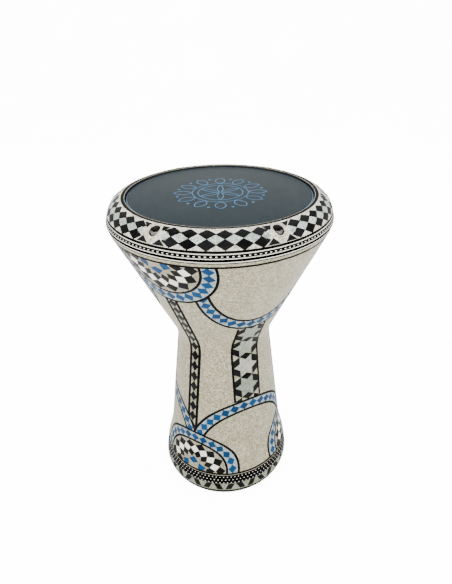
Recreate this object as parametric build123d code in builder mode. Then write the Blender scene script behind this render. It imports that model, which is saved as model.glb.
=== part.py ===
# Goblet drum (darbuka) with a cast aluminium shell, inlaid skin and a ring tuned by six screws.
# Millimetres. Origin at the middle of the foot's underside, +Z up, front of the drum towards -Y.
from build123d import *
from math import cos, radians, sin
import os

os.makedirs("parts", exist_ok=True)

# ---- Driving dimensions -------------------------------------------------------------------------
head_z = 426.0          # playing surface above the floor
rim_r = 142.0           # largest radius, at the seam between ring and shell
inlay = 1.2             # depth of the inlaid skin, measured towards the axis
wall = 4.4              # thickness of the casting, measured towards the axis

# Outer line of the shell, from the seam down to the foot
seam_z = 400.0
shoulder_r, shoulder_z, shoulder_round = 139.3, 391.6, 6.0
waist_r, waist_z, waist_round = 62.8, 234.3, 50.0
neck_r, neck_z, neck_round = 80.0, 74.0, 60.0
flare_r, flare_z, flare_round = 87.8, 42.0, 30.0
bead_r, bead_round = 72.0, 19.0      # the rolled foot: middle of its section and its radius
bead_start = 8.0                     # degrees above the middle where the flare meets the bead
foot_inner_r = 68.0
shelf_drop = 8.0                     # thickness of the shelf between the wall and the bearing edge

# Bearing edge, film and flesh hoop
lip_r = 114.8
lip_outer_slope, lip_inner_slope = 1.6, 1.4
film = 0.4
film_r = 115.6
film_bend = 2.0
skirt_z = 417.0                      # where the film's skirt turns outwards to its hem
hem_r, hem_top_z, hem_foot_z = 118.8, 412.6, 409.2
hoop_bottom_z = 405.0
hoop_inner_r, hoop_outer_r = 116.3, 121.4
hoop_floor, hoop_step = 2.0, 5.5     # thickness under the slot, and height of the low inner wall
slot_inner_r, slot_outer_r = 117.4, 119.8

# Tuning ring
ring_bottom_z = 402.0
ring_inner_r, ring_top_z = 117.4, 428.0
ring_crown_r = 122.0                 # where the flat top turns into the bevel
ring_edge_r, ring_edge_z, ring_round = 137.4, 421.3, 26.9
hoop_seat_z = 419.5                  # underside of the ring's inner flange, which presses the hoop
hoop_room_r = 121.9
screw_play = 0.3                     # radial room round a screw in the ring

# Tuning screws, M6 with a hexagon socket
screw_count = 6
screw_circle_r = 129.5
first_screw = -32.5                  # degrees from the front, towards +X
screw_r = 3.0
thread_play = 0.05
head_r, head_h, head_round = 5.0, 6.0, 0.8
pocket_r, pocket_z = 6.2, 415.0
washer_r, washer_h = 5.9, 1.2
screw_length, tip_chamfer = 30.0, 0.8
socket_across, socket_depth = 5.0, 3.2
boss_r, boss_z = 8.0, 383.5
hole_beyond = 6.0                    # the tapped holes run out below the bosses

# Heights between which the bands of the shell's inlay lie
collar_lines_z = 397.3
collar_band_z = 392.3
collar_line_z = 391.0
field_bottom_z = 43.8
foot_line_z = 41.6
foot_dots_z = 27.5
foot_chevrons_z = 16.0
foot_black_z = 13.4
foot_edge_z = 4.0

# Bands of the ring's inlay
rim_edge_r = 118.2
rim_line_r = 122.0
rim_lozenges_z = 411.1
rim_lines_z = 406.7
rim_dots_z = 402.6

# Motifs in the pearl field: (half width, depth) on the tangent plane, three of each round the drum
motif_turns = (0.0, 123.0, 240.0)
bowl_medallion, bowl_medallion_at = (68.5, 65.0), -32.0
garland_outer, garland_inner, garland_at = (88.5, 115.0), (75.0, 100.0), 27.0
foot_medallion, foot_medallion_at = (62.0, 56.5), -33.5
arch_outer, arch_inner, arch_at = (80.0, 108.0), (66.0, 93.5), 25.5
star_band_width, star_band_at = 39.6, 25.5
lozenge_band_width, lozenge_band_at = 15.0, -35.5
strip_tuck = 4.0                     # how far a strip's ends lie under the motifs that cover them
smallest_piece = 20.0                # mm³; a motif's pieces below this are crumbs of the cutting


# ---- Helpers ------------------------------------------------------------------------------------
def facing(degrees, height=0.0):
    """Upright plane through the axis whose normal points out at this angle from the front."""
    turn = radians(degrees)
    outward = (sin(turn), -cos(turn), 0)
    return Plane(origin=(0, 0, height), x_dir=(cos(turn), sin(turn), 0), z_dir=outward)


def on_circle(degrees, radius):
    """Point in plan at this angle from the front."""
    turn = radians(degrees)
    return (radius * sin(turn), -radius * cos(turn))


def body_face(inset):
    """Half section of the solid drum body, its outer line moved towards the axis by inset."""
    start = radians(bead_start)
    bead_top = (bead_r + bead_round * cos(start) - inset, bead_round + bead_round * sin(start))
    bead_side = (bead_r + bead_round * cos(radians(-45)) - inset, bead_round * (1 - sin(radians(45))))
    with BuildSketch(Plane.XZ) as section:
        with BuildLine():
            side = FilletPolyline(
                (rim_r - inset, seam_z),
                (shoulder_r - inset, shoulder_z),
                (waist_r - inset, waist_z),
                (neck_r - inset, neck_z),
                (flare_r - inset, flare_z),
                bead_top,
                radius=[shoulder_round, waist_round, neck_round, flare_round],
            )
            bead = ThreePointArc(side @ 1, bead_side, (bead_r - inset, 0))
            Polyline(bead @ 1, (0, 0), (0, seam_z), side @ 0)
        make_face()
    return section.sketch


def ring_face(inset):
    """Half section of the ring's outside, down to the ring's bottom, moved in by inset."""
    with BuildSketch(Plane.XZ) as section:
        with BuildLine():
            bevel = FilletPolyline(
                (ring_crown_r - inset / 2, ring_top_z - inset),
                (ring_edge_r - inset, ring_edge_z - inset / 2),
                (rim_r - inset, ring_bottom_z),
                radius=ring_round,
            )
            Polyline(bevel @ 1, (ring_inner_r, ring_bottom_z), (ring_inner_r, ring_top_z - inset), bevel @ 0)
        make_face()
    return section.sketch


def skin_section(low, high):
    """Section of the shell's inlay between two heights."""
    with BuildSketch(Plane.XZ) as section:
        add(body_face(0))
        add(body_face(inlay), mode=Mode.SUBTRACT)
        with Locations((rim_r / 2, (low + high) / 2)):
            Rectangle(rim_r + 2, high - low, mode=Mode.INTERSECT)
    return section.sketch


def ring_skin_section(low, high, near, far):
    """Section of the ring's inlay between two heights and two radii."""
    with BuildSketch(Plane.XZ) as section:
        add(ring_face(0))
        add(ring_face(inlay), mode=Mode.SUBTRACT)
        with Locations(((near + far) / 2, (low + high) / 2)):
            Rectangle(far - near, high - low, mode=Mode.INTERSECT)
    return section.sketch


def finish(piece, name):
    """Name a piece and write it."""
    piece.part.label = name
    export_step(piece.part, f"parts/{name}.step")


screw_angles = [first_screw + k * 360 / screw_count for k in range(screw_count)]
screw_points = [on_circle(angle, screw_circle_r) for angle in screw_angles]
screw_seat_z = pocket_z + washer_h

# ---- Shell --------------------------------------------------------------------------------------
with BuildPart() as shell:
    with BuildSketch(Plane.XZ) as goblet:
        add(body_face(inlay))
        with BuildLine():
            Polyline(
                (lip_r - wall, seam_z), (lip_r, seam_z), (lip_r, head_z - film - lip_outer_slope),
                (lip_r - lip_outer_slope, head_z - film), (lip_r - wall + lip_inner_slope, head_z - film),
                (lip_r - wall, head_z - film - lip_inner_slope), close=True,
            )
        make_face()
    revolve(axis=Axis.Z)
    # Hollow of the bowl, neck and foot, open at both ends
    shelf_z = seam_z - shelf_drop
    with BuildSketch(Plane.XZ):
        add(body_face(inlay + wall))
        with Locations((rim_r / 2, shelf_z / 2 - foot_edge_z)):
            Rectangle(rim_r, shelf_z + 2 * foot_edge_z, mode=Mode.INTERSECT)
    revolve(axis=Axis.Z, mode=Mode.SUBTRACT)
    with BuildSketch(Plane.XY):
        Circle(foot_inner_r)
    extrude(amount=bead_round, mode=Mode.SUBTRACT)
    with BuildSketch(Plane.XY.offset(shelf_z - 1)):
        Circle(lip_r - wall)
    extrude(amount=head_z - shelf_z + 2, mode=Mode.SUBTRACT)
    # Bosses under the shelf, inside the outer line
    with BuildPart(mode=Mode.PRIVATE) as bosses:
        with BuildSketch(Plane.XY.offset(boss_z)):
            with Locations(*screw_points):
                Circle(boss_r)
        extrude(amount=shelf_z - boss_z + 1)
        with BuildSketch(Plane.XZ):
            add(body_face(inlay))
        revolve(axis=Axis.Z, mode=Mode.INTERSECT)
    add(bosses.part)
    with BuildSketch(Plane.XY.offset(seam_z)):
        with Locations(*screw_points):
            Circle(screw_r + thread_play)
    extrude(amount=-(seam_z - boss_z) - hole_beyond, mode=Mode.SUBTRACT)
finish(shell, "shell")

# ---- Film head, whose edge hangs in the hoop's slot ---------------------------------------------
with BuildPart() as drum_head:
    with BuildSketch(Plane.XZ) as film_face:
        with BuildLine():
            Polyline(
                (0, head_z), (film_r, head_z), (film_r, skirt_z), (hem_r, hem_top_z), (hem_r, hem_foot_z),
                (hem_r - film, hem_foot_z), (hem_r - film, hem_top_z + film / 2),
                (film_r - film, skirt_z + film / 2), (film_r - film, head_z - film),
                (0, head_z - film), close=True,
            )
        make_face()
        # Both faces of the film bend round one centre, so its wall keeps its thickness
        fillet(film_face.vertices().sort_by_distance((film_r, head_z))[0], film_bend)
        fillet(film_face.vertices().sort_by_distance((film_r - film, head_z - film))[0], film_bend - film)
    revolve(axis=Axis.Z)
finish(drum_head, "drum_head")

# ---- Flesh hoop, a channel round the film's edge ------------------------------------------------
with BuildPart() as flesh_hoop:
    with BuildSketch(Plane.XZ):
        with BuildLine():
            Polyline(
                (hoop_inner_r, hoop_bottom_z), (hoop_outer_r, hoop_bottom_z), (hoop_outer_r, hoop_seat_z),
                (slot_outer_r, hoop_seat_z), (slot_outer_r, hoop_bottom_z + hoop_floor),
                (slot_inner_r, hoop_bottom_z + hoop_floor), (slot_inner_r, hoop_bottom_z + hoop_step),
                (hoop_inner_r, hoop_bottom_z + hoop_step), close=True,
            )
        make_face()
    revolve(axis=Axis.Z)
finish(flesh_hoop, "flesh_hoop")

# ---- Tuning ring --------------------------------------------------------------------------------
with BuildPart() as tuning_ring:
    with BuildSketch(Plane.XZ):
        add(ring_face(inlay))
        with Locations((hoop_room_r / 2, (hoop_seat_z + ring_bottom_z) / 2)):
            Rectangle(hoop_room_r, hoop_seat_z - ring_bottom_z, mode=Mode.SUBTRACT)
    revolve(axis=Axis.Z)
    with BuildSketch(Plane.XY.offset(pocket_z)):
        with Locations(*screw_points):
            Circle(pocket_r)
    extrude(amount=ring_top_z - pocket_z, mode=Mode.SUBTRACT)
    with BuildSketch(Plane.XY.offset(ring_bottom_z)):
        with Locations(*screw_points):
            Circle(screw_r + screw_play)
    extrude(amount=pocket_z - ring_bottom_z, mode=Mode.SUBTRACT)
finish(tuning_ring, "tuning_ring")

# ---- Inlay of the ring, pierced by the screw pockets --------------------------------------------
with BuildPart() as pockets:
    with BuildSketch(Plane.XY.offset(pocket_z)):
        with Locations(*screw_points):
            Circle(pocket_r)
    extrude(amount=ring_top_z - pocket_z + 1)

ring_bands = {
    "rim_inner_edge": (ring_edge_z, ring_top_z + 1, ring_inner_r - 1, rim_edge_r),
    "rim_inner_line": (ring_edge_z, ring_top_z + 1, rim_edge_r, rim_line_r),
    "rim_lozenge_band": (rim_lozenges_z, ring_top_z + 1, rim_line_r, rim_r + 1),
    "rim_line_band": (rim_lines_z, rim_lozenges_z, rim_line_r, rim_r + 1),
    "rim_dot_band": (rim_dots_z, rim_lines_z, rim_line_r, rim_r + 1),
    "rim_lower_edge": (ring_bottom_z, rim_dots_z, rim_line_r, rim_r + 1),
}
for name, (low, high, near, far) in ring_bands.items():
    with BuildPart() as band:
        with BuildSketch(Plane.XZ):
            add(ring_skin_section(low, high, near, far))
        revolve(axis=Axis.Z)
        if name == "rim_lozenge_band":
            add(pockets.part, mode=Mode.SUBTRACT)
    finish(band, name)

# ---- Plain bands of the shell's inlay -----------------------------------------------------------
shell_bands = {
    "collar_line_band": (collar_lines_z, seam_z),
    "collar_pearl_band": (collar_band_z, collar_lines_z),
    "collar_line": (collar_line_z, collar_band_z),
    "foot_line": (foot_line_z, field_bottom_z),
    "foot_dot_band": (foot_dots_z, foot_line_z),
    "foot_chevron_band": (foot_chevrons_z, foot_dots_z),
    "foot_lower_line": (foot_black_z, foot_chevrons_z),
    "foot_edge_band": (foot_edge_z, foot_black_z),
}
for name, (low, high) in shell_bands.items():
    with BuildPart() as band:
        with BuildSketch(Plane.XZ):
            add(skin_section(low, high))
        revolve(axis=Axis.Z)
    finish(band, name)


# ---- Pearl field and the motifs let into it -----------------------------------------------------
def half_round(outer, inner, at, height):
    """Half-round motif, or a band of one when inner is given, standing out from the axis."""
    with BuildPart() as cutter:
        with BuildSketch(facing(at, height)):
            Ellipse(*outer)
            if inner:
                Ellipse(*inner, mode=Mode.SUBTRACT)
        extrude(amount=rim_r + 8)
    return cutter.part


def upright_strip(width, at, low, high):
    """Upright strip between two heights, standing out from the axis."""
    with BuildPart() as cutter:
        with BuildSketch(facing(at, (low + high) / 2)):
            Rectangle(width, high - low)
        extrude(amount=rim_r + 8)
    return cutter.part


# The foremost motif comes first, and each takes its shape out of what is left of the skin.
# A strip's ends lie under the motifs that cover them.
motifs = {
    "bowl_medallions": lambda turn: half_round(
        bowl_medallion, None, bowl_medallion_at + turn, collar_line_z),
    "foot_medallions": lambda turn: half_round(
        foot_medallion, None, foot_medallion_at + turn, field_bottom_z),
    "bowl_garlands": lambda turn: half_round(
        garland_outer, garland_inner, garland_at + turn, collar_line_z),
    "foot_arches": lambda turn: half_round(
        arch_outer, arch_inner, arch_at + turn, field_bottom_z),
    "neck_star_bands": lambda turn: upright_strip(
        star_band_width, star_band_at + turn,
        field_bottom_z + (arch_outer[1] + arch_inner[1]) / 2,
        collar_line_z - (garland_outer[1] + garland_inner[1]) / 2),
    "neck_lozenge_bands": lambda turn: upright_strip(
        lozenge_band_width, lozenge_band_at + turn,
        field_bottom_z + foot_medallion[1] - strip_tuck,
        collar_line_z - bowl_medallion[1] + strip_tuck),
}
with BuildPart() as body_field:
    with BuildSketch(Plane.XZ):
        add(skin_section(field_bottom_z, collar_line_z))
    revolve(axis=Axis.Z)
    for name, cutter_at in motifs.items():
        pieces = []
        for turn in motif_turns:
            cutter = cutter_at(turn)
            inlaid = (body_field.part & cutter).solids()
            pieces += [piece for piece in inlaid if piece.volume > smallest_piece]
            add(cutter, mode=Mode.SUBTRACT)
        with BuildPart(mode=Mode.PRIVATE) as motif:
            add(pieces)
        finish(motif, name)
finish(body_field, "body_field")

# ---- Washers and tuning screws ------------------------------------------------------------------
with BuildPart() as screw_washers:
    with BuildSketch(Plane.XY.offset(pocket_z)):
        with Locations(*screw_points):
            Circle(washer_r)
            Circle(screw_r + screw_play, mode=Mode.SUBTRACT)
    extrude(amount=washer_h)
finish(screw_washers, "screw_washers")

for number, point in enumerate(screw_points, start=1):
    with BuildPart() as screw:
        with BuildSketch(Plane.XY.offset(screw_seat_z)):
            with Locations(point):
                Circle(head_r)
        extrude(amount=head_h)
        rim = screw.edges().sort_by(Axis.Z)[-1]
        fillet(rim, head_round)
        with BuildSketch(Plane.XY.offset(screw_seat_z + head_h)):
            with Locations(point):
                RegularPolygon(socket_across / 2, 6, major_radius=False)
        extrude(amount=-socket_depth, mode=Mode.SUBTRACT)
        with BuildSketch(Plane.XY.offset(screw_seat_z)):
            with Locations(point):
                Circle(screw_r)
        extrude(amount=-screw_length)
        tip = screw.edges().sort_by(Axis.Z)[0]
        chamfer(tip, tip_chamfer)
    finish(screw, f"tuning_screw_{number}")
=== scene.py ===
import math
import random

import bmesh
import bpy
from mathutils import Matrix, Vector


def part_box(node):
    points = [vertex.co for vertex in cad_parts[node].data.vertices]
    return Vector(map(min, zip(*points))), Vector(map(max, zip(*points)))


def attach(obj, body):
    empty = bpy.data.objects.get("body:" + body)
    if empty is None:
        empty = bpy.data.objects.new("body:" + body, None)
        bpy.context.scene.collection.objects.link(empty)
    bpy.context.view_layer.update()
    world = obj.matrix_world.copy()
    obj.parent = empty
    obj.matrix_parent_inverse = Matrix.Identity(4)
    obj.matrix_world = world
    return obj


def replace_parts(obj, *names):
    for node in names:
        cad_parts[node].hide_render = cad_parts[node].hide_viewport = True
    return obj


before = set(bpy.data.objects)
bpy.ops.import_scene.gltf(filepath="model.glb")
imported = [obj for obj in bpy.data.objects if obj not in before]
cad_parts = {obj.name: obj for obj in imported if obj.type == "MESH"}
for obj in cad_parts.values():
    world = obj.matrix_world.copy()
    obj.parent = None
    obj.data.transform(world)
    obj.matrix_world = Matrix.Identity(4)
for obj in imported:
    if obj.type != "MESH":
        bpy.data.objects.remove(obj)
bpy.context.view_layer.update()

MM = 0.001
chance = random.Random(7)

# ---- Outlines of shell and ring, in millimetres as (radius, height), the same as the CAD's ------
RIM_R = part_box("collar_line_band")[1].x / MM
SEAM_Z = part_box("collar_line_band")[1].z / MM
RING_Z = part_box("tuning_ring")[0].z / MM
TOP_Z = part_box("rim_inner_line")[1].z / MM
HEAD_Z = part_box("drum_head")[1].z / MM
FILM_R = 115.6
COLLAR_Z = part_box("collar_line")[0].z / MM
FOOT_LINE_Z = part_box("foot_line")[1].z / MM

SHELL_CORNERS = [(RIM_R, SEAM_Z), (139.3, 391.6), (62.8, 234.3), (80.0, 74.0), (87.8, 42.0), (93.8, 0.0),
                 (71.0, 0.0)]
SHELL_ROUNDS = [6, 50, 60, 30, 19]
RING_CORNERS = [(117.4, TOP_Z), (122.0, TOP_Z), (137.4, 421.3), (RIM_R, RING_Z)]
RING_ROUNDS = [0.6, 26.9]


class Outline:
    """A line of (radius, height) points with rounded corners, measured along its length from the top."""

    def __init__(self, corners, rounds, step=1.2):
        points = [corners[0]]
        for k, radius in enumerate(rounds, start=1):
            before, corner, after = (Vector(corners[j]) for j in (k - 1, k, k + 1))
            a, b = (before - corner).normalized(), (after - corner).normalized()
            half = math.acos(max(-1, min(1, a.dot(b)))) / 2
            centre = corner + (a + b).normalized() * radius / math.sin(half)
            start = corner + a * radius / math.tan(half) - centre
            end = corner + b * radius / math.tan(half) - centre
            sweep = start.angle_signed(end)
            count = max(2, math.ceil(abs(sweep) * radius / step))
            for i in range(count + 1):
                turn = -sweep * i / count
                c, s = math.cos(turn), math.sin(turn)
                points.append((centre.x + start.x * c - start.y * s, centre.y + start.x * s + start.y * c))
        points.append(corners[-1])
        self.points = points
        self.lengths = [0.0]
        for p, q in zip(points, points[1:]):
            self.lengths.append(self.lengths[-1] + math.dist(p, q))
        self.total = self.lengths[-1]

    def at(self, s):
        """Radius, height and outward normal at a length along the line."""
        s = min(max(s, 0.0), self.total)
        low, high = 0, len(self.lengths) - 1
        while high - low > 1:
            middle = (low + high) // 2
            low, high = (middle, high) if self.lengths[middle] <= s else (low, middle)
        (r0, z0), (r1, z1) = self.points[low], self.points[high]
        span = self.lengths[high] - self.lengths[low]
        t = (s - self.lengths[low]) / span
        return r0 + (r1 - r0) * t, z0 + (z1 - z0) * t, (z0 - z1) / span, (r1 - r0) / span

    def length_at(self, z):
        """The length along the line at which it first comes down to a height."""
        for k in range(1, len(self.points)):
            z0, z1 = self.points[k - 1][1], self.points[k][1]
            if z1 <= z <= z0 and z0 > z1:
                return self.lengths[k - 1] + (z0 - z) / (z0 - z1) * (self.lengths[k] - self.lengths[k - 1])
        return self.total


SHELL = Outline(SHELL_CORNERS, SHELL_ROUNDS)
RING = Outline(RING_CORNERS, RING_ROUNDS)
COLLAR_S = SHELL.length_at(COLLAR_Z)
FOOT_S = SHELL.length_at(FOOT_LINE_Z)
CROWN_S = RING_CORNERS[1][0] - RING_CORNERS[0][0]


def surface(outline, start, direction, at, radius=None):
    """Places (x, y) millimetres on a round body: x round it from an angle, y along its outline."""

    def place(x, y, lift):
        r, z, out, up = outline.at(start + direction * y)
        turn = math.radians(at) + x / (radius or r)
        r, z = r + out * lift, z + up * lift
        return Vector((r * math.sin(turn), -r * math.cos(turn), z)) * MM

    return place


# ---- Meshes --------------------------------------------------------------------------------------
# Edges sharper than these stay crisp
TILE_CREASE, TURNED_CREASE = math.radians(50), math.radians(40)
# The least area of a tile in square millimetres, and how far its edge lies under its top
SMALLEST_TILE = 0.6
EDGE_DROP = 0.05


def mesh_object(name, verts, faces, material, body, shades=None):
    mesh = bpy.data.meshes.new(name)
    mesh.from_pydata(verts, [], faces)
    if shades:
        attribute = mesh.attributes.new("tile_shade", "FLOAT", "FACE")
        attribute.data.foreach_set("value", shades)
    mesh.validate()
    turned = bmesh.new()
    turned.from_mesh(mesh)
    bmesh.ops.recalc_face_normals(turned, faces=turned.faces)
    turned.to_mesh(mesh)
    turned.free()
    mesh.shade_smooth()
    mesh.materials.append(material)
    obj = bpy.data.objects.new(name, mesh)
    bpy.context.scene.collection.objects.link(obj)
    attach(obj, body)
    return obj


class Inlay:
    """Tiles and ribbons of one colour, gathered into one mesh. Each is a thin closed slab."""

    def __init__(self, top=0.0, depth=0.5):
        self.top, self.depth = top, depth
        self.verts, self.faces, self.shades = [], [], []

    def _vertex(self, point):
        self.verts.append(point)
        return len(self.verts) - 1

    def _face(self, face, shade):
        self.faces.append(face)
        self.shades.append(shade)

    def tile(self, corners, place, cell=2.5, soft=0.35):
        """A tile with any outline that can be seen whole from its middle."""
        if len(corners) < 3:
            return
        area = sum(p[0] * q[1] - q[0] * p[1] for p, q in zip(corners, corners[1:] + corners[:1])) / 2
        if abs(area) < SMALLEST_TILE:
            return
        if area < 0:
            corners = corners[::-1]
        edge = []
        for p, q in zip(corners, corners[1:] + corners[:1]):
            count = max(1, math.ceil(math.dist(p, q) / cell))
            edge += [(p[0] + (q[0] - p[0]) * i / count, p[1] + (q[1] - p[1]) * i / count)
                     for i in range(count)]
        mid = (sum(p[0] for p in edge) / len(edge), sum(p[1] for p in edge) / len(edge))
        reach = max(math.dist(mid, p) for p in edge)
        inner = max(0.3, 1 - soft / reach)
        steps = max(1, math.ceil(inner * reach / cell))
        scales = [1.0] + [inner * (steps - k) / steps for k in range(steps)]
        shade = chance.random()
        count = len(edge)
        foot = self.top - self.depth

        def loop(scale, lift):
            return [self._vertex(place(mid[0] + (x - mid[0]) * scale, mid[1] + (y - mid[1]) * scale, lift))
                    for x, y in edge]

        rows = [loop(scale, self.top - (EDGE_DROP if k == 0 else 0.0)) for k, scale in enumerate(scales)]
        hub = self._vertex(place(*mid, self.top))
        unders = [loop(scale, foot) for scale in scales[:1] + scales[2::2]]
        under_hub = self._vertex(place(*mid, foot))
        for k in range(count):
            n = (k + 1) % count
            for outer, nearer in zip(rows, rows[1:]):
                self._face((outer[k], outer[n], nearer[n], nearer[k]), shade)
            for outer, nearer in zip(unders, unders[1:]):
                self._face((outer[n], outer[k], nearer[k], nearer[n]), shade)
            self._face((rows[-1][k], rows[-1][n], hub), shade)
            self._face((unders[-1][n], unders[-1][k], under_hub), shade)
            self._face((unders[0][k], unders[0][n], rows[0][n], rows[0][k]), shade)

    def ribbon(self, path, left, right, place, closed=False, cell=2.5):
        """A strip along a path, from left to right of it. The path holds (x, y, across x, across y)."""
        count = max(1, math.ceil(abs(right - left) / cell))
        offsets = [left + (right - left) * i / count for i in range(count + 1)]
        foot = self.top - self.depth
        rows = [[self._vertex(place(x + ax * o, y + ay * o, self.top)) for o in offsets]
                for x, y, ax, ay in path]
        bases = [[self._vertex(place(x + ax * o, y + ay * o, foot)) for o in (left, right)]
                 for x, y, ax, ay in path]
        shade = chance.random()
        pairs = list(zip(range(len(path)), range(1, len(path))))
        if closed:
            pairs.append((len(path) - 1, 0))
        for a, b in pairs:
            for i in range(count):
                self._face((rows[a][i], rows[b][i], rows[b][i + 1], rows[a][i + 1]), shade)
            self._face((rows[a][0], bases[a][0], bases[b][0], rows[b][0]), shade)
            self._face((rows[a][-1], rows[b][-1], bases[b][1], bases[a][1]), shade)
            self._face((bases[a][1], bases[b][1], bases[b][0], bases[a][0]), shade)
        if not closed:
            self._face((*rows[0], bases[0][1], bases[0][0]), shade)
            self._face((*reversed(rows[-1]), bases[-1][0], bases[-1][1]), shade)

    def build(self, name, material, body, slot):
        obj = mesh_object(name, self.verts, self.faces, material, body, self.shades)
        obj.data.set_sharp_from_angle(angle=TILE_CREASE)
        return obj


def lathe(name, section, material, body, segments=360):
    """A closed section of (radius, height) millimetres turned round the drum's axis."""
    verts, faces = [], []
    for k in range(segments):
        c, s = math.cos(2 * math.pi * k / segments), math.sin(2 * math.pi * k / segments)
        verts += [Vector((r * s, -r * c, z)) * MM for r, z in section]
    count = len(section)
    for k in range(segments):
        here, there = k * count, (k + 1) % segments * count
        for i in range(count):
            j = (i + 1) % count
            faces.append((here + i, here + j, there + j, there + i))
    obj = mesh_object(name, verts, faces, material, body)
    obj.data.set_sharp_from_angle(angle=TURNED_CREASE)
    return obj


def skin_section(outline, start, end, lift, depth, step=2.5):
    """The closed section of a layer between two lengths of an outline."""
    stops = sorted({start, end, *(s for s in outline.lengths if start < s < end)})
    fine = [stops[0]]
    for s in stops[1:]:
        count = max(1, math.ceil((s - fine[-1]) / step))
        fine += [fine[-1] + (s - fine[-1]) * (i + 1) / count for i in range(count)]
    outer, inner = [], []
    for s in fine:
        r, z, out, up = outline.at(s)
        outer.append((r + out * lift, z + up * lift))
        inner.append((r + out * (lift - depth), z + up * (lift - depth)))
    return outer + inner[::-1]


# ---- Paths and shapes in millimetres ---------------------------------------------------------------
def half_ellipse(wide, deep, spacing=2.0):
    """Points and outward directions along an ellipse's half, from its right end to its left end."""

    def outward(x, y):
        across = Vector((x / wide ** 2, y / deep ** 2)).normalized()
        return x, y, across.x, across.y

    fine = 720
    turns = [math.pi * i / fine for i in range(fine + 1)]
    points = [(wide * math.cos(t), deep * math.sin(t)) for t in turns]
    length = sum(math.dist(p, q) for p, q in zip(points, points[1:]))
    count = max(1, round(length / spacing))
    path, travelled, target = [], 0.0, 0.0
    for p, q in zip(points, points[1:] + [points[-1]]):
        if travelled >= target - 1e-6 and len(path) <= count:
            path.append(outward(*p))
            target += length / count
        travelled += math.dist(p, q)
    while len(path) < count + 1:
        path.append(outward(*points[-1]))
    return path


def clip(corners, a, b, c):
    """The part of a polygon where a x + b y is at least c."""
    kept = []
    for p, q in zip(corners, corners[1:] + corners[:1]):
        dp, dq = a * p[0] + b * p[1] - c, a * q[0] + b * q[1] - c
        if dp >= 0:
            kept.append(p)
        if dp * dq < 0:
            t = dp / (dp - dq)
            kept.append((p[0] + (q[0] - p[0]) * t, p[1] + (q[1] - p[1]) * t))
    return kept


def shrink(corners, gap):
    """A polygon pulled in towards its middle so that neighbours stand a little apart."""
    mx, my = (sum(v) / len(corners) for v in zip(*corners))
    reach = max(math.dist((mx, my), p) for p in corners)
    k = 1 - gap / reach
    return [(mx + (x - mx) * k, my + (y - my) * k) for x, y in corners]


def wobble(corners, amount=0.35):
    """Hand-cut corners."""
    return [(x + chance.uniform(-amount, amount), y + chance.uniform(-amount, amount)) for x, y in corners]


def lozenge(x, y, wide, tall, turn=0.0):
    c, s = math.cos(turn), math.sin(turn)
    points = [(wide / 2, 0), (0, tall / 2), (-wide / 2, 0), (0, -tall / 2)]
    return [(x + px * c - py * s, y + px * s + py * c) for px, py in points]


# ---- Materials -------------------------------------------------------------------------------------
def colour(r, g, b):
    """An 8-bit screen colour as a shader colour."""
    return (*(((c / 255 + 0.055) / 1.055) ** 2.4 if c > 10 else c / 3294.6 for c in (r, g, b)), 1.0)


def add_node(tree, kind, inputs=None, **settings):
    node = tree.nodes.new(kind)
    for key, value in settings.items():
        setattr(node, key, value)
    for key, value in (inputs or {}).items():
        if isinstance(value, bpy.types.NodeSocket):
            tree.links.new(value, node.inputs[key])
        else:
            node.inputs[key].default_value = value
    return node


def start_material(name, **values):
    material = bpy.data.materials.new(name)
    material.use_nodes = True
    tree = material.node_tree
    shader = tree.nodes["Principled BSDF"]
    for key, value in values.items():
        shader.inputs[key.replace("_", " ")].default_value = value
    place = tree.nodes.new("ShaderNodeTexCoord").outputs["Object"]
    return material, tree, shader, place


def ramp(tree, factor, *stops):
    node = add_node(tree, "ShaderNodeValToRGB", {"Fac": factor})
    elements = node.color_ramp.elements
    while len(elements) < len(stops):
        elements.new(0.5)
    for element, (position, value) in zip(elements, stops):
        element.position, element.color = position, value
    return node.outputs["Color"]


def arithmetic(tree, operation, a, b):
    return add_node(tree, "ShaderNodeMath", {0: a, 1: b}, operation=operation).outputs[0]


def noise(tree, place, size, detail=3.0, distortion=0.0):
    """Smooth noise whose features are about this many millimetres across."""
    return add_node(tree, "ShaderNodeTexNoise", {
        "Vector": place, "Scale": 1 / (size * MM), "Detail": detail, "Distortion": distortion}).outputs["Fac"]


def chips(tree, place, size):
    """A random value for each flake of about this many millimetres."""
    cells = add_node(tree, "ShaderNodeTexVoronoi", {"Vector": place, "Scale": 1 / (size * MM)})
    return add_node(tree, "ShaderNodeSeparateColor", {"Color": cells.outputs["Color"]}).outputs["Red"]


def bump(tree, shader, height, distance, strength=0.5):
    node = add_node(tree, "ShaderNodeBump", {
        "Height": height, "Distance": distance * MM, "Strength": strength})
    tree.links.new(node.outputs["Normal"], shader.inputs["Normal"])


def spread(tree, value, low, high):
    node = add_node(tree, "ShaderNodeMapRange", {"Value": value, "To Min": low, "To Max": high})
    return node.outputs["Result"]


def blend_values(tree, *weighted):
    """The weighted sum of several values."""
    total = None
    for value, weight in weighted:
        part = arithmetic(tree, "MULTIPLY", value, weight)
        total = part if total is None else arithmetic(tree, "ADD", total, part)
    return total


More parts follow.
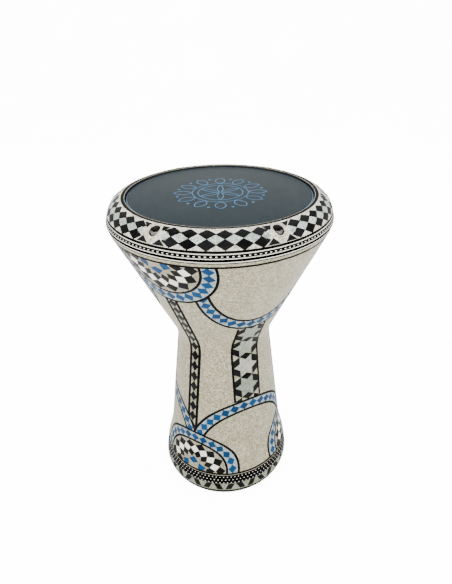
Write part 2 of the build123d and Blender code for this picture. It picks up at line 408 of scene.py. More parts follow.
def pearl(name, dark, middle, light, flake=2.4, per_tile=0.0, veins=0.0):
    """Mother-of-pearl chips cast in resin and ground smooth, with a few flakes painted light as glints."""
    material, tree, shader, place = start_material(
        name, Coat_Weight=0.12, Coat_Roughness=0.2, Specular_IOR_Level=0.25)
    flakes = chips(tree, place, flake)
    crumbs = chips(tree, place, flake * 0.4)
    clouds = noise(tree, place, 22, 6)
    # Painted glints: a few flakes are painted much lighter, standing in for glints of light off the pearl
    painted_glints = arithmetic(tree, "POWER", chips(tree, place, flake * 0.6), 14.0)
    tint = blend_values(tree, (flakes, 0.26), (crumbs, 0.50), (clouds, 0.22), (painted_glints, 0.46))
    if veins:
        cracks = add_node(tree, "ShaderNodeTexVoronoi", {"Vector": place, "Scale": 1 / (flake * MM)},
                          feature="DISTANCE_TO_EDGE").outputs["Distance"]
        dark_vein = arithmetic(tree, "LESS_THAN", cracks, 0.07)
        tint = blend_values(tree, (tint, 1.15), (dark_vein, -veins))
    if per_tile:
        shade = add_node(tree, "ShaderNodeAttribute", attribute_name="tile_shade").outputs["Fac"]
        tint = blend_values(tree, (tint, 1 - per_tile), (shade, per_tile))
    base = ramp(tree, tint, (0.22, dark), (0.50, middle), (0.80, light))
    tree.links.new(base, shader.inputs["Base Color"])
    tree.links.new(spread(tree, flakes, 0.30, 0.52), shader.inputs["Roughness"])
    bump(tree, shader, crumbs, 0.02, 0.25)
    return material


def tile_stone(name, dark, light, roughness=0.25, grain=3.0, shine=0.15):
    """Tile with its own shade and a faint streaked grain."""
    material, tree, shader, place = start_material(name, Specular_IOR_Level=shine)
    shade = add_node(tree, "ShaderNodeAttribute", attribute_name="tile_shade").outputs["Fac"]
    streaks = noise(tree, place, grain, 4, 1.2)
    tint = blend_values(tree, (shade, 0.55), (streaks, 0.6))
    tree.links.new(ramp(tree, tint, (0.15, dark), (0.95, light)), shader.inputs["Base Color"])
    tree.links.new(spread(tree, streaks, roughness * 0.8, roughness * 1.5), shader.inputs["Roughness"])
    return material


def height_of(tree, place):
    """Height above the floor, in millimetres."""
    height = add_node(tree, "ShaderNodeSeparateXYZ", {"Vector": place}).outputs["Z"]
    return arithmetic(tree, "DIVIDE", height, MM)


def distance_out(tree, place):
    """Distance from the drum's axis, in millimetres."""
    level = add_node(tree, "ShaderNodeVectorMath", {0: place, 1: (1.0, 1.0, 0.0)}, operation="MULTIPLY")
    length = add_node(tree, "ShaderNodeVectorMath", {0: level.outputs["Vector"]}, operation="LENGTH")
    return arithmetic(tree, "DIVIDE", length.outputs["Value"], MM)


def mix_colours(tree, factor, a, b):
    node = add_node(tree, "ShaderNodeMix", {0: factor, 6: a, 7: b}, data_type="RGBA")
    return node.outputs[2]


def metal(name, dark, light, low, high, grain=0.6, dents=0.0, turned=False, painted_seam_shade=False):
    """Bare metal. Turned metal has its grain running round it, and painted shade turns it near black in the
    gap where ring meets shell.
    """
    material, tree, shader, place = start_material(name, Metallic=1.0)
    vector = place
    if turned:
        vector = add_node(tree, "ShaderNodeCombineXYZ", {
            "X": arithmetic(tree, "MULTIPLY", distance_out(tree, place), MM),
            "Y": arithmetic(tree, "MULTIPLY", height_of(tree, place), MM)}).outputs["Vector"]
    fine = noise(tree, vector, grain, 4)
    broad = noise(tree, place, 25, 3)
    tint = blend_values(tree, (fine, 0.5), (broad, 0.5))
    base = ramp(tree, tint, (0.3, dark), (0.7, light))
    if painted_seam_shade:
        # Painted shade: from just under the shell's top to just over the ring's foot the metal is painted
        # near black, where the gap between ring and shell lies in shade
        height = height_of(tree, place)
        above = arithmetic(tree, "GREATER_THAN", height, SEAM_Z - 1.0)
        below = arithmetic(tree, "LESS_THAN", height, RING_Z + 0.4)
        base = mix_colours(tree, arithmetic(tree, "MULTIPLY", above, below), base, colour(8, 8, 8))
    tree.links.new(base, shader.inputs["Base Color"])
    tree.links.new(spread(tree, tint, low, high), shader.inputs["Roughness"])
    if dents:
        bump(tree, shader, fine, dents, 0.5)
    return material


def head_film():
    """Smooth slate-coloured plastic film with a satin face, and a painted light-blue highlight round its
    rolled edge.
    """
    material, tree, shader, place = start_material(
        "head_film", Specular_IOR_Level=0.06, Specular_Tint=(0.55, 0.92, 1.0, 1.0))
    grain = noise(tree, place, 0.5, 2)
    clouds = noise(tree, place, 45, 3)
    tint = blend_values(tree, (grain, 0.25), (clouds, 0.75))
    base = ramp(tree, tint, (0.3, colour(0, 18, 23)), (0.7, colour(2, 24, 30)))
    # Painted highlight: the last millimetre of the film before its rim is painted light blue, standing in for
    # light caught on its rolled edge
    out = distance_out(tree, place)
    edge = add_node(tree, "ShaderNodeMapRange", {
        "Value": out, "From Min": FILM_R - 1.5, "From Max": FILM_R - 0.5}).outputs["Result"]
    tree.links.new(mix_colours(tree, edge, base, colour(112, 150, 178)), shader.inputs["Base Color"])
    tree.links.new(spread(tree, grain, 0.30, 0.42), shader.inputs["Roughness"])
    bump(tree, shader, grain, 0.01, 0.3)
    return material


def studio_paper():
    material, tree, shader, place = start_material("studio_paper", Roughness=0.9)
    tint = noise(tree, place, 400, 2)
    base = ramp(tree, tint, (0.3, colour(246, 246, 246)), (0.7, colour(250, 250, 250)))
    tree.links.new(base, shader.inputs["Base Color"])
    tree.links.new(base, shader.inputs["Emission Color"])
    seen = tree.nodes.new("ShaderNodeLightPath").outputs["Is Camera Ray"]
    tree.links.new(arithmetic(tree, "MULTIPLY", seen, 14.0), shader.inputs["Emission Strength"])
    return material


BODY_PEARL = pearl("body_pearl", colour(114, 107, 82), colour(144, 137, 110), colour(190, 185, 160), 2.2)
RIM_PEARL = pearl("rim_pearl", colour(160, 153, 133), colour(204, 199, 182), colour(240, 237, 224), 3.5)
BAND_PEARL = pearl("band_pearl", colour(102, 116, 120), colour(134, 146, 148), colour(166, 175, 173), 2.2)
FIELD_PEARL = pearl("field_pearl", colour(104, 98, 80), colour(140, 134, 112), colour(172, 167, 146), 2.2)
STAR_PEARL = pearl("star_pearl", colour(108, 112, 94), colour(142, 144, 126), colour(174, 175, 158), 2.6, 0.3)
SHOT_PEARL = pearl("shot_pearl", colour(104, 116, 100), colour(138, 143, 126), colour(176, 175, 157),
                   4.5, 0.45)
GREEN_PEARL = pearl("green_pearl", colour(122, 134, 124), colour(172, 182, 174), colour(220, 226, 218),
                    2.6, 0.3, veins=0.5)
EDGE_PEARL = pearl("edge_pearl", colour(112, 107, 90), colour(146, 141, 122), colour(180, 176, 158), 2.0)
WHITE_TILE = tile_stone("white_tile", colour(236, 231, 214), colour(255, 253, 244), 0.28, 4.0, 0.3)
BLACK_TILE = tile_stone("black_tile", colour(0, 0, 0), colour(24, 25, 25), 0.25, 3.0, 0.03)
BLACK_LINE = tile_stone("black_line", colour(0, 0, 0), colour(9, 9, 9), 0.4, 2.0, 0.02)
BLUE_TILE = tile_stone("blue_tile", colour(4, 40, 74), colour(12, 66, 108), 0.30, 3.0, 0.06)
INK_BLUE = tile_stone("ink_blue", colour(60, 118, 164), colour(94, 148, 190), 0.45, 1.5, 0.08)
CAST = metal("cast_aluminium", colour(120, 120, 120), colour(152, 152, 151), 0.42, 0.62, 0.9, dents=0.15,
             painted_seam_shade=True)
# Painted shade: the turned metal of ring and hoop is painted dark grey, standing in for the shade inside the
# screw pockets and under the ring
TURNED_PAINTED_SHADE = metal("turned_aluminium", colour(50, 50, 49), colour(82, 81, 79), 0.30, 0.46, 0.5, turned=True,
               painted_seam_shade=True)
# Painted shade: the washers are painted dark, standing in for the shade round the screws in their pockets
STEEL_PAINTED_SHADE = metal("washer_steel", colour(66, 65, 62), colour(104, 102, 98), 0.28, 0.44, 0.4)
# Painted reflection: the screws' chrome is painted dark, standing in for the dark surroundings it reflects
CHROME_PAINTED_REFLECTION = metal("chrome", colour(60, 62, 64), colour(128, 130, 132), 0.08, 0.16, 2.4)
RESIN = pearl("filler_resin", colour(118, 98, 66), colour(196, 184, 156), colour(248, 245, 234), 1.8)
FILM = head_film()

# ---- Layers, in millimetres over the outline: strips lie lowest, then bows, then half rounds ------
BODY_LIFT = -0.27
RING_LIFT = -0.05
STRIP_LIFT = -0.18
BOW_LIFT = -0.09
ROUND_LIFT = 0.0
BAND_DROP = 0.08
DOT_LIFT = -0.03
SKIN = 0.8

# Width of the black lines beside the motifs, and where the motifs repeat, in degrees
LINE = 3.1
TURNS = (0.0, 123.0, 240.0)


# ---- Motifs ----------------------------------------------------------------------------------------
# A medallion's petals, on a medallion of PETAL_SIZE: where each starts, is widest and ends, in
# millimetres from the middle, and half its width in degrees
PETAL_SIZE = 53
HEART_PETAL, HEART_TURN = (8.5, 15.5, 21.5, 32), 72
INNER_PETAL, MIDDLE_PETAL, OUTER_PETAL = (20, 28, 36, 12), (28, 36, 43.5, 12), (36, 43.5, 51, 12)
PETAL_TURN = 24

# A six-pointed star: its points, its notches and the height of one star's row
STAR_POINT, STAR_NOTCH, STAR_ROW = 18, 10.4, 31.2


def chain(inlay, wide, deep, across, pitch, place):
    """Lozenges point to point along the half of an ellipse."""
    path = half_ellipse(wide, deep, pitch)
    for a, b in zip(path, path[1:]):
        x, y = (a[0] + b[0]) / 2, (a[1] + b[1]) / 2
        out = Vector((a[2] + b[2], a[3] + b[3])).normalized() * across / 2
        points = [(a[0], a[1]), (x + out.x, y + out.y), (b[0], b[1]), (x - out.x, y - out.y)]
        inlay.tile(wobble(shrink(points, gap=-0.3), 0.3), place)


def half_round(place, ground, chain_ground, white, black, blue, lines, inner, outer):
    """A half-round medallion: five-fold rosette, black line, chain of blue lozenges, black line."""
    ground.tile([(x, y) for x, y, _, _ in half_ellipse(*outer)], place)
    middle = [(a + b) / 2 for a, b in zip(inner, outer)]
    gap = min(outer[0] - inner[0], outer[1] - inner[1])
    chain_ground.ribbon(half_ellipse(*middle), -gap / 2, gap / 2, place)
    for wide, deep in (inner, outer):
        lines.ribbon(half_ellipse(wide, deep), -LINE / 2, LINE / 2, place)
    chain(blue, *middle, across=gap - LINE + 0.2, pitch=13.0, place=place)

    def polar(radius, degrees):
        turn = math.radians(degrees)
        scale_x, scale_y = inner[0] / PETAL_SIZE, inner[1] / PETAL_SIZE
        return radius * scale_x * math.sin(turn), radius * scale_y * math.cos(turn)

    def petal(inlay, shape, degrees, gap=-0.2):
        low, side, high, half = shape
        points = [polar(low, degrees), polar(side, degrees + half), polar(high, degrees),
                  polar(side, degrees - half)]
        inlay.tile(clip(wobble(shrink(points, gap), 0.3), 0, 1, 0.3), place)

    for step in (-1, 0, 1):
        petal(blue, HEART_PETAL, HEART_TURN * step)
    for step in range(-4, 4):
        for shape in (INNER_PETAL, OUTER_PETAL):
            petal(black, shape, PETAL_TURN * (step + 0.5))
    for step in range(-3, 4):
        petal(white, MIDDLE_PETAL, PETAL_TURN * step, gap=0.2)


def bow(place, ground, blue, lines, inner, outer):
    """A half-round band: chain of blue lozenges between two black lines."""
    middle = [(a + b) / 2 for a, b in zip(inner, outer)]
    gap = min(outer[0] - inner[0], outer[1] - inner[1])
    ground.ribbon(half_ellipse(*middle), -gap / 2, gap / 2, place)
    for wide, deep in (inner, outer):
        lines.ribbon(half_ellipse(wide, deep), -LINE / 2, LINE / 2, place)
    chain(blue, *middle, across=gap - LINE + 0.4, pitch=13.4, place=place)


def straight(length, spacing=2.5):
    count = math.ceil(length / spacing)
    return [(0.0, length * i / count, 1.0, 0.0) for i in range(count + 1)]


def star_strip(place, ground, stars, black, lines, length, half=19.0, pitch=30.5):
    """Upright strip of six-pointed pearl stars, with black rhombi and slanted tiles round them."""
    path = straight(length)
    ground.ribbon(path, -half, half, place)
    for side in (-1, 1):
        lines.ribbon(path, side * half - LINE / 2, side * half + LINE / 2, place)
    unit = pitch / STAR_ROW
    star = []
    for i in range(12):
        reach, turn = STAR_NOTCH if i % 2 else STAR_POINT, math.radians(30 * (i + 1))
        star.append((reach * math.sin(turn), STAR_ROW / 2 + reach * math.cos(turn)))

    def put(inlay, points, top, gap=-0.35):
        placed = [(x * unit, top + y * unit) for x, y in points]
        placed = clip(clip(wobble(shrink(placed, gap), 0.25), 0, 1, 0), 0, -1, -length)
        inlay.tile(placed, place)

    for k in range(-1, math.ceil(length / pitch) + 1):
        top = k * pitch
        if 0 <= top and top + pitch <= length + 1:
            put(stars, star, top, gap=0.3)
        put(black, lozenge(0, 0, STAR_POINT, STAR_NOTCH), top)
        for side in (-1, 1):
            far, near = side * STAR_POINT, side * STAR_POINT / 2
            put(black, [(far, STAR_ROW / 2), (near, 2 * STAR_NOTCH), (near, STAR_ROW),
                        (far, STAR_ROW - STAR_NOTCH / 2)], top)
            put(black, [(far, STAR_ROW / 2), (near, STAR_NOTCH), (near, 0), (far, STAR_NOTCH / 2)], top)


def lozenge_strip(place, ground, black, lines, length, half=7.0, pitch=15.8, wide=12.0):
    """Upright strip of tall black lozenges, point to point between two broad black lines."""
    path = straight(length)
    ground.ribbon(path, -half, half, place)
    for side in (-1, 1):
        lines.ribbon(path, side * half - LINE * 0.68, side * half + LINE * 0.68, place)
    for k in range(math.ceil(length / pitch)):
        points = wobble(lozenge(0, (k + 0.5) * pitch, wide, pitch + 0.8), 0.25)
        black.tile(clip(points, 0, -1, -length), place)


# Where the motifs lie: centre in degrees from the front, and line sizes (round it, along the slope)
BOWL_ROUND_AT, BOWL_ROUND = -32.0, ((53.0, 53.5), (71.0, 71.0))
FOOT_ROUND_AT, FOOT_ROUND = -33.5, ((50.5, 42.0), (67.0, 56.0))
GARLAND_AT, GARLAND = 27.0, ((80.8, 111.0), (96.5, 127.0))
ARCH_AT, ARCH = 25.5, ((81.0, 96.5), (95.0, 110.5))
STAR_STRIP_AT = 25.5
LOZENGE_STRIP_AT, LOZENGE_STRIP_DRIFT = -34.3, 0.022

groups = {
    "bowl_round": (ROUND_LIFT, "bowl_medallions"),
    "foot_round": (ROUND_LIFT, "foot_medallions"),
    "garland": (BOW_LIFT, "bowl_garlands"),
    "arch": (BOW_LIFT, "foot_arches"),
    "star_strip": (STRIP_LIFT, "neck_star_bands"),
    "lozenge_strip": (STRIP_LIFT, "neck_lozenge_bands"),
}
palette = {
    "ground": (FIELD_PEARL, "pearl_inlay"),
    "chain_ground": (BAND_PEARL, "pearl_inlay"),
    "stars": (SHOT_PEARL, "pearl_inlay"),
    "white": (WHITE_TILE, "white_inlay"),
    "black": (BLACK_TILE, "black_inlay"),
    "blue": (BLUE_TILE, "blue_inlay"),
    "lines": (BLACK_LINE, "black_inlay"),
}
# How far a motif's grounds lie under its tiles
DROPS = {"ground": 0.045, "chain_ground": 0.03}
inlays = {
    (group, part): Inlay(lift - DROPS.get(part, 0.0))
    for group, (lift, _) in groups.items() for part in palette
}


def parts(group, *names):
    return [inlays[group, name] for name in names]


ROUND_PARTS = ("ground", "chain_ground", "white", "black", "blue", "lines")
BOW_PARTS = ("chain_ground", "blue", "lines")
for turn in TURNS:
    down = surface(SHELL, COLLAR_S, 1, BOWL_ROUND_AT + turn)
    half_round(down, *parts("bowl_round", *ROUND_PARTS), *BOWL_ROUND)
    up = surface(SHELL, FOOT_S, -1, FOOT_ROUND_AT + turn)
    half_round(up, *parts("foot_round", *ROUND_PARTS), *FOOT_ROUND)
    bow(surface(SHELL, COLLAR_S, 1, GARLAND_AT + turn), *parts("garland", *BOW_PARTS), *GARLAND)
    bow(surface(SHELL, FOOT_S, -1, ARCH_AT + turn), *parts("arch", *BOW_PARTS), *ARCH)
    first = COLLAR_S + GARLAND[1][1]
    length = FOOT_S - ARCH[1][1] - first
    star_strip(surface(SHELL, first, 1, STAR_STRIP_AT + turn),
               *parts("star_strip", "ground", "stars", "black", "lines"), length)
    first = COLLAR_S + BOWL_ROUND[1][1]
    length = FOOT_S - FOOT_ROUND[1][1] - first
    upright = surface(SHELL, first, 1, LOZENGE_STRIP_AT + turn)
    lozenge_strip(lambda x, y, lift: upright(x - LOZENGE_STRIP_DRIFT * y, y, lift),
                  *parts("lozenge_strip", "ground", "black", "lines"), length)

for (group, part), inlay in inlays.items():
    if inlay.faces:
        material, slot_name = palette[part]
        piece = inlay.build(f"{group}_{part}", material, "drum", slot_name)
        if part == "lines":
            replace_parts(piece, groups[group][1])


# ---- Bands turned round the shell and the ring ------------------------------------------------------
def band(name, outline, high, low, material, body, lift=0.0, node=None):
    """A ring of the skin between two heights."""
    section = skin_section(outline, outline.length_at(high), outline.length_at(low), lift, SKIN)
    piece = lathe(name, section, material, body)
    if node:
        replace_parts(piece, node)


def top_of(node):
    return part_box(node)[1].z / MM


def foot_of(node):
    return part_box(node)[0].z / MM


FIELD_TUCK = 0.5
field = skin_section(SHELL, COLLAR_S - FIELD_TUCK, FOOT_S + FIELD_TUCK, BODY_LIFT, SKIN)
body = lathe("pearl_field", field, BODY_PEARL, "drum", segments=288)
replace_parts(body, "body_field")

COLLAR_PEARL_Z = 396.8
COLLAR_LINES = ((SEAM_Z, 399.4, BLACK_LINE, "black"), (399.4, 398.2, WHITE_TILE, "white"),
                (398.2, COLLAR_PEARL_Z, BLACK_LINE, "black"))
for k, (high, low, material, tone) in enumerate(COLLAR_LINES, start=1):
    band(f"collar_rim_line_{k}", SHELL, high, low, material, "drum",
         node="collar_line_band" if k == 1 else None)
COLLAR_LINE_Z = foot_of("collar_pearl_band") + 0.9
band("collar_pearl", SHELL, COLLAR_PEARL_Z, COLLAR_LINE_Z, BODY_PEARL, "drum",
     node="collar_pearl_band")
band("collar_black_line", SHELL, COLLAR_LINE_Z, foot_of("collar_line") - 0.7, BLACK_LINE, "drum",
     node="collar_line")
band("foot_black_line", SHELL, top_of("foot_line") + 0.4, foot_of("foot_line"), BLACK_LINE, "drum",
     node="foot_line")

FOOT_WHITE_Z = 40.9
band("foot_white_line", SHELL, top_of("foot_dot_band"), FOOT_WHITE_Z, EDGE_PEARL, "drum")
band("foot_dot_ground", SHELL, FOOT_WHITE_Z, foot_of("foot_dot_band"), BLACK_LINE, "drum",
     -BAND_DROP, "foot_dot_band")
FOOT_EDGE_Z, FOOT_LIP_Z = 16.4, 12.2
band("foot_chevron_ground", SHELL, top_of("foot_chevron_band"), FOOT_EDGE_Z, STAR_PEARL, "drum",
     -BAND_DROP, "foot_chevron_band")
band("foot_lower_black_line", SHELL, FOOT_EDGE_Z, FOOT_LIP_Z, BLACK_LINE, "drum",
     node="foot_lower_line")
band("foot_edge", SHELL, FOOT_LIP_Z, foot_of("foot_edge_band"), EDGE_PEARL, "drum",
     node="foot_edge_band")


def dot(wide, tall, corners=8):
    return [(wide / 2 * math.cos(math.tau * i / corners), tall / 2 * math.sin(math.tau * i / corners))
            for i in range(corners)]


foot_dots = Inlay(DOT_LIFT)
FOOT_DOTS, FOOT_DOT_SIZE = 106, (1.35, 1.2)
FOOT_DOT_ROWS_Z = (37.9, 33.3, 28.9)
for row, z in enumerate(FOOT_DOT_ROWS_Z):
    start = SHELL.length_at(z)
    for k in range(FOOT_DOTS):
        place = surface(SHELL, start, 1, 360 * (k + row / 2) / FOOT_DOTS)
        foot_dots.tile(wobble(dot(*FOOT_DOT_SIZE), 0.1), place, soft=0.2)
foot_dots.build("foot_dots", WHITE_TILE, "drum", "white_inlay")

chevrons = Inlay(DOT_LIFT)
CHEVRONS, CHEVRON_AT = 36, 2
CHEVRON_TOP_Z, CHEVRON_FOOT_Z = 27.2, 17.6
CHEVRON_HALF, CHEVRON_LEAN = 4.3, 2.6
start = SHELL.length_at(CHEVRON_TOP_Z)
tall = SHELL.length_at(CHEVRON_FOOT_Z) - start
for k in range(CHEVRONS):
    lean = CHEVRON_LEAN if k % 2 else -CHEVRON_LEAN
    points = [(-CHEVRON_HALF - lean, 0), (CHEVRON_HALF - lean, 0), (CHEVRON_HALF + lean, tall),
              (-CHEVRON_HALF + lean, tall)]
    chevrons.tile(wobble(points), surface(SHELL, start, 1, 360 * k / CHEVRONS + CHEVRON_AT))
chevrons.build("foot_chevrons", BLACK_TILE, "drum", "black_inlay")

EDGE_END, LINE_END = 0.5, 4.5
rim_edge = skin_section(RING, 0.0, EDGE_END, RING_LIFT, SKIN)
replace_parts(lathe("ring_inner_edge", rim_edge, EDGE_PEARL, "tuning_ring"), "rim_inner_edge")
LOZENGE_START = CROWN_S + 1.3
crown = skin_section(RING, EDGE_END, LINE_END, RING_LIFT, SKIN)
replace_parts(lathe("ring_inner_line", crown, BLACK_LINE, "tuning_ring"), "rim_inner_line")

RIM_LINES = ((411.2, 408.3, BLACK_LINE, "black"), (408.3, 407.3, WHITE_TILE, "white"))
for k, (high, low, material, tone) in enumerate(RIM_LINES, start=1):
    band(f"ring_line_{k}", RING, high, low, material, "tuning_ring", RING_LIFT,
         "rim_line_band" if k == 1 else None)
RIM_DOTS_TOP, RIM_DOTS_FOOT = 407.3, 403.4
band("ring_dot_ground", RING, RIM_DOTS_TOP, RIM_DOTS_FOOT, BLACK_LINE, "tuning_ring",
     -BAND_DROP, "rim_dot_band")
band("ring_lower_white_line", RING, RIM_DOTS_FOOT, foot_of("rim_dot_band"), WHITE_TILE, "tuning_ring",
     RING_LIFT)
band("ring_lower_edge", RING, top_of("rim_lower_edge"), foot_of("rim_lower_edge"), BLACK_LINE, "tuning_ring",
     RING_LIFT, "rim_lower_edge")

ring_dots = Inlay(DOT_LIFT)
RING_DOTS, RING_DOT_SIZE, RING_DOT_Z = 154, (2.4, 1.15), 405.1
start = RING.length_at(RING_DOT_Z)
for k in range(RING_DOTS):
    place = surface(RING, start, 1, 360 * k / RING_DOTS)
    ring_dots.tile(wobble(dot(*RING_DOT_SIZE), 0.1), place, soft=0.2)
ring_dots.build("ring_dots", WHITE_TILE, "tuning_ring", "white_inlay")

# ---- Lozenges on the ring's bevel -------------------------------------------------------------------
SCREWS, FIRST_SCREW, SCREW_R = 6, -32.5, 129.5
LOZENGE_END = RING.length_at(top_of("rim_line_band"))
ROW = (LOZENGE_END - LOZENGE_START) / 2
COLUMNS, COLUMN = 6, 18.4
SIDE_PEARL_AT, SIDE_PEARL_WIDE = 16.0, 10.4
# Black wedges beside a screw, each from the wedge's middle: where its base starts and ends, how
# far base and tip lean away from the screw, and its height
WEDGE_AT, WEDGE_EDGE = 10.2, 0.6
INNER_WEDGE, OUTER_WEDGE = (-7.6, 7.0, 0.8, 0.2, 7.0), (-7.2, 7.2, 0.0, -0.3, 7.2)
MOSAIC_LIFT = 0.06
interval = 2 * math.pi * SCREW_R / SCREWS
ring_black, ring_pearl = Inlay(MOSAIC_LIFT), Inlay(MOSAIC_LIFT)


def wedge(shape, side, edge, up):
    low, high, lean, tip, tall = shape
    middle = side * WEDGE_AT
    return [(middle + low + side * lean, edge), (middle + high + side * lean, edge),
            (middle + side * tip, edge + up * tall)]


for k in range(SCREWS):
    place = surface(RING, LOZENGE_START, 1, FIRST_SCREW + k * 360 / SCREWS, SCREW_R)
    for column in range(COLUMNS):
        x = interval / 2 + (column - (COLUMNS - 1) / 2) * COLUMN
        for row in range(2):
            points = lozenge(x, (row + 0.5) * ROW, COLUMN + 1.4, ROW + 0.7)
            ring_black.tile(clip(clip(wobble(points, 0.4), 0, 1, 0.2), 0, -1, -2 * ROW), place)
        if column < COLUMNS - 1:
            points = lozenge(x + COLUMN / 2, ROW, COLUMN - 0.8, ROW - 0.5)
            ring_pearl.tile(wobble(points, 0.4), place)
    for side in (-1, 1):
        ring_black.tile(wobble(wedge(INNER_WEDGE, side, WEDGE_EDGE, 1), 0.3), place)
        ring_black.tile(wobble(wedge(OUTER_WEDGE, side, 2 * ROW - WEDGE_EDGE, -1), 0.3), place)
        points = lozenge(side * SIDE_PEARL_AT, ROW, SIDE_PEARL_WIDE, ROW - 0.9)
        ring_pearl.tile(wobble(points, 0.3), place)
ring_black.build("ring_lozenges_black", BLACK_TILE, "tuning_ring", "black_inlay")
ring_pearl.build("ring_lozenges_pearl", GREEN_PEARL, "tuning_ring", "pearl_inlay")

# ---- Resin raised round the screw pockets -------------------------------------------------------------
POCKET_R = 6.2
BEAD_SIDES = 48
# The bead's section, as (distance out from its inner edge, height over the ring's surface)
BEAD = ((0.05, -1.6), (0.05, 0.25), (0.5, 0.75), (1.3, 0.8), (2.3, 0.45), (3.0, -0.15), (2.6, -1.6))
BEAD_GAP, BEAD_SWELL, BEAD_WOBBLE = 0.05, 0.22, 0.12
BEAD_UNDER_TOP = 0.06


def ring_height(radius):
    """Height of the ring's surface at this distance from the axis, in millimetres."""
    low, high = 0.0, RING.total
    for _ in range(24):
        middle = (low + high) / 2
        if RING.at(middle)[0] < radius:
            low = middle
        else:
            high = middle
    return RING.at(low)[1]


def pocket_bead(k):
    """A low bank of resin round one screw's pocket, wider in some places than in others."""
    at = math.radians(FIRST_SCREW + k * 360 / SCREWS)
    cx, cy = SCREW_R * math.sin(at), -SCREW_R * math.cos(at)
    turns = [math.tau * i / BEAD_SIDES for i in range(BEAD_SIDES)]
    widths = [1.0 + BEAD_SWELL * math.sin(3 * turn + k) + chance.uniform(-BEAD_WOBBLE, BEAD_WOBBLE)
              for turn in turns]
    verts, faces = [], []
    for turn, wide in zip(turns, widths):
        for out, up in BEAD:
            reach = POCKET_R + BEAD_GAP + out * wide
            x, y = cx + reach * math.cos(turn), cy + reach * math.sin(turn)
            z = min(ring_height(math.hypot(x, y)) + up, TOP_Z - BEAD_UNDER_TOP)
            verts.append(Vector((x, y, z)) * MM)
    count = len(BEAD)
    for i in range(BEAD_SIDES):
        here, there = i * count, (i + 1) % BEAD_SIDES * count
        for j in range(count):
            across = (j + 1) % count
            faces.append((here + j, here + across, there + across, there + j))
    mesh_object(f"ring_pocket_bead_{k + 1}", verts, faces, RESIN, "tuning_ring")


for k in range(SCREWS):
    pocket_bead(k)

# ---- Printed rosette on the head --------------------------------------------------------------------
def flat(x, y, lift):
    return Vector((x, y, HEAD_Z + lift)) * MM


def draw(x, y, radius, first=0.0, last=math.tau, ink=0.65, spacing=1.5):
    """Prints a circle, or an arc of one from a first to a last angle."""
    count = max(8, math.ceil(radius * abs(last - first) / spacing))
    closed = abs(abs(last - first) - math.tau) < 1e-6
    steps = range(count if closed else count + 1)
    turns = [first + (last - first) * i / count for i in steps]
    path = [(x + radius * math.cos(t), y + radius * math.sin(t), math.cos(t), math.sin(t)) for t in turns]
    print_ink.ribbon(path, -ink / 2, ink / 2, flat, closed)


print_ink = Inlay(0.03, 0.05)
for radius in (28.0, 35.0):
    draw(0, 0, radius)
PETALS, PETAL_IN, PETAL_OUT = 12, 36.0, 58.0
DOT_AT, DOT_R, DOT_INK = 54.5, 1.3, 0.8
LOBES, LOBE_R = 6, 27.0
span, sag = PETAL_OUT - PETAL_IN, 6.4
arc_r = (span ** 2 / 4 + sag ** 2) / (2 * sag)
half_turn = math.asin(span / 2 / arc_r)
for k in range(PETALS):
    turn = math.tau * k / PETALS
    ox, oy = math.cos(turn), math.sin(turn)
    for side in (-1, 1):
        cx = (PETAL_IN + PETAL_OUT) / 2 * ox + side * (arc_r - sag) * oy
        cy = (PETAL_IN + PETAL_OUT) / 2 * oy - side * (arc_r - sag) * ox
        towards = turn + side * math.pi / 2
        draw(cx, cy, arc_r, towards - half_turn, towards + half_turn)
    between = turn + math.pi / PETALS
    draw(DOT_AT * math.cos(between), DOT_AT * math.sin(between), DOT_R, ink=DOT_INK)
for k in range(LOBES):
    turn = math.tau * k / LOBES + math.pi / LOBES
    cx, cy = LOBE_R * math.cos(turn), LOBE_R * math.sin(turn)
    draw(cx, cy, LOBE_R, turn + math.pi * 2 / 3, turn + math.pi * 4 / 3)
print_ink.build("head_rosette", INK_BLUE, "drum", "film")

# ---- CAD pieces shown as they are, in their own materials; ring, washers and screws painted darker as shade ---
finishes = {
    "shell": (CAST, "cast_aluminium"),
    "drum_head": (FILM, "film"),
    "tuning_ring": (TURNED_PAINTED_SHADE, "hoop_aluminium"),
    "flesh_hoop": (TURNED_PAINTED_SHADE, "hoop_aluminium"),
    "rim_lozenge_band": (RIM_PEARL, "pearl_inlay"),
    "screw_washers": (STEEL_PAINTED_SHADE, "washer_steel"),
}
finishes.update({f"tuning_screw_{k}": (CHROME_PAINTED_REFLECTION, "chrome_screw") for k in range(1, SCREWS + 1)})
for node, (material, slot_name) in finishes.items():
    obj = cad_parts[node]
    obj.data.materials.clear()
    obj.data.materials.append(material)

# ---- Floor, light and camera --------------------------------------------------------------------------
def sweep():
    """Studio paper: a floor that curves up into a wall behind the object."""
    half_width, near, far, bend, wall_top, steps = 9.0, -6.0, 3.0, 2.0, 8.0, 24
    turns = [math.pi / 2 * i / steps for i in range(1, steps + 1)]
    profile = [(near, 0.0), (far, 0.0)]
    profile += [(far + bend * math.sin(t), bend - bend * math.cos(t)) for t in turns]
    profile.append((far + bend, wall_top))
    verts = [Vector((x, y, z)) for y, z in profile for x in (-half_width, half_width)]
    faces = [(2 * i, 2 * i + 1, 2 * i + 3, 2 * i + 2) for i in range(len(profile) - 1)]
    mesh = bpy.data.meshes.new("studio_sweep")
    mesh.from_pydata(verts, [], faces)
    mesh.shade_smooth()
    mesh.materials.append(studio_paper())
    obj = bpy.data.objects.new("studio_sweep", mesh)
    bpy.context.scene.collection.objects.link(obj)


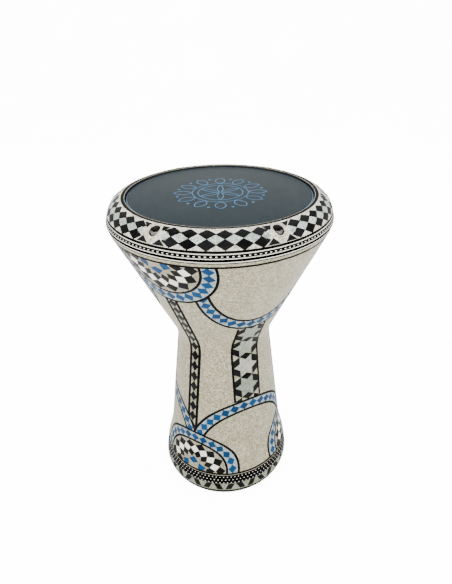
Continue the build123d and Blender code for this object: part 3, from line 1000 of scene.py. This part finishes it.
def area_light(name, position, target, size, power):
    light = bpy.data.lights.new(name, "AREA")
    light.shape = "RECTANGLE"
    light.size, light.size_y = size
    light.energy = power
    obj = bpy.data.objects.new(name, light)
    obj.location = position
    obj.rotation_euler = (Vector(target) - Vector(position)).to_track_quat("-Z", "Y").to_euler()
    bpy.context.scene.collection.objects.link(obj)


sweep()
area_light("overhead_softbox", (0.3, 0.6, 2.6), (0.0, 0.0, 0.3), (2.6, 2.2), 72)
area_light("left_softbox", (-2.2, -1.2, 1.4), (0.0, 0.0, 0.25), (1.6, 1.8), 40)
area_light("right_softbox", (2.2, -1.0, 1.2), (0.0, 0.0, 0.25), (1.4, 1.6), 24)
area_light("rear_strip", (0.0, 1.9, 0.62), (0.0, 0.0, 0.43), (2.4, 0.5), 6)
area_light("front_fill", (0.2, -2.4, 0.9), (0.0, 0.0, 0.2), (1.8, 1.4), 36)
world = bpy.data.worlds.new("studio_air")
world.use_nodes = True
air = world.node_tree.nodes["Background"]
air.inputs["Color"].default_value = (1.0, 1.0, 1.0, 1.0)
air.inputs["Strength"].default_value = 1.15
bpy.context.scene.world = world

# The camera stands in front of the drum and a little above it, and looks down over the head
CAMERA_PLACE = Vector((0.0, -0.5947, 0.6292))
LENS, SHIFT = 30.87, (-0.0325, -0.109)
PITCH, YAW, ROLL = math.radians(23.03), math.radians(2.94), math.radians(-0.26)
forward = Vector((math.sin(YAW) * math.cos(PITCH), math.cos(YAW) * math.cos(PITCH), -math.sin(PITCH)))
right = Vector((math.cos(YAW), -math.sin(YAW), 0.0))
above = right.cross(forward)
camera_right = right * math.cos(ROLL) + above * math.sin(ROLL)
camera_up = above * math.cos(ROLL) - right * math.sin(ROLL)
camera_data = bpy.data.cameras.new("photo_camera")
camera_data.sensor_fit = "AUTO"
camera_data.sensor_width = 36.0
camera_data.lens = LENS
camera_data.shift_x, camera_data.shift_y = SHIFT
camera_data.clip_start, camera_data.clip_end = 0.05, 60.0
camera = bpy.data.objects.new("photo_camera", camera_data)
bpy.context.scene.collection.objects.link(camera)
basis = [(camera_right[i], camera_up[i], -forward[i], CAMERA_PLACE[i]) for i in range(3)]
camera.matrix_world = Matrix([*basis, (0, 0, 0, 1)])
bpy.context.scene.camera = camera
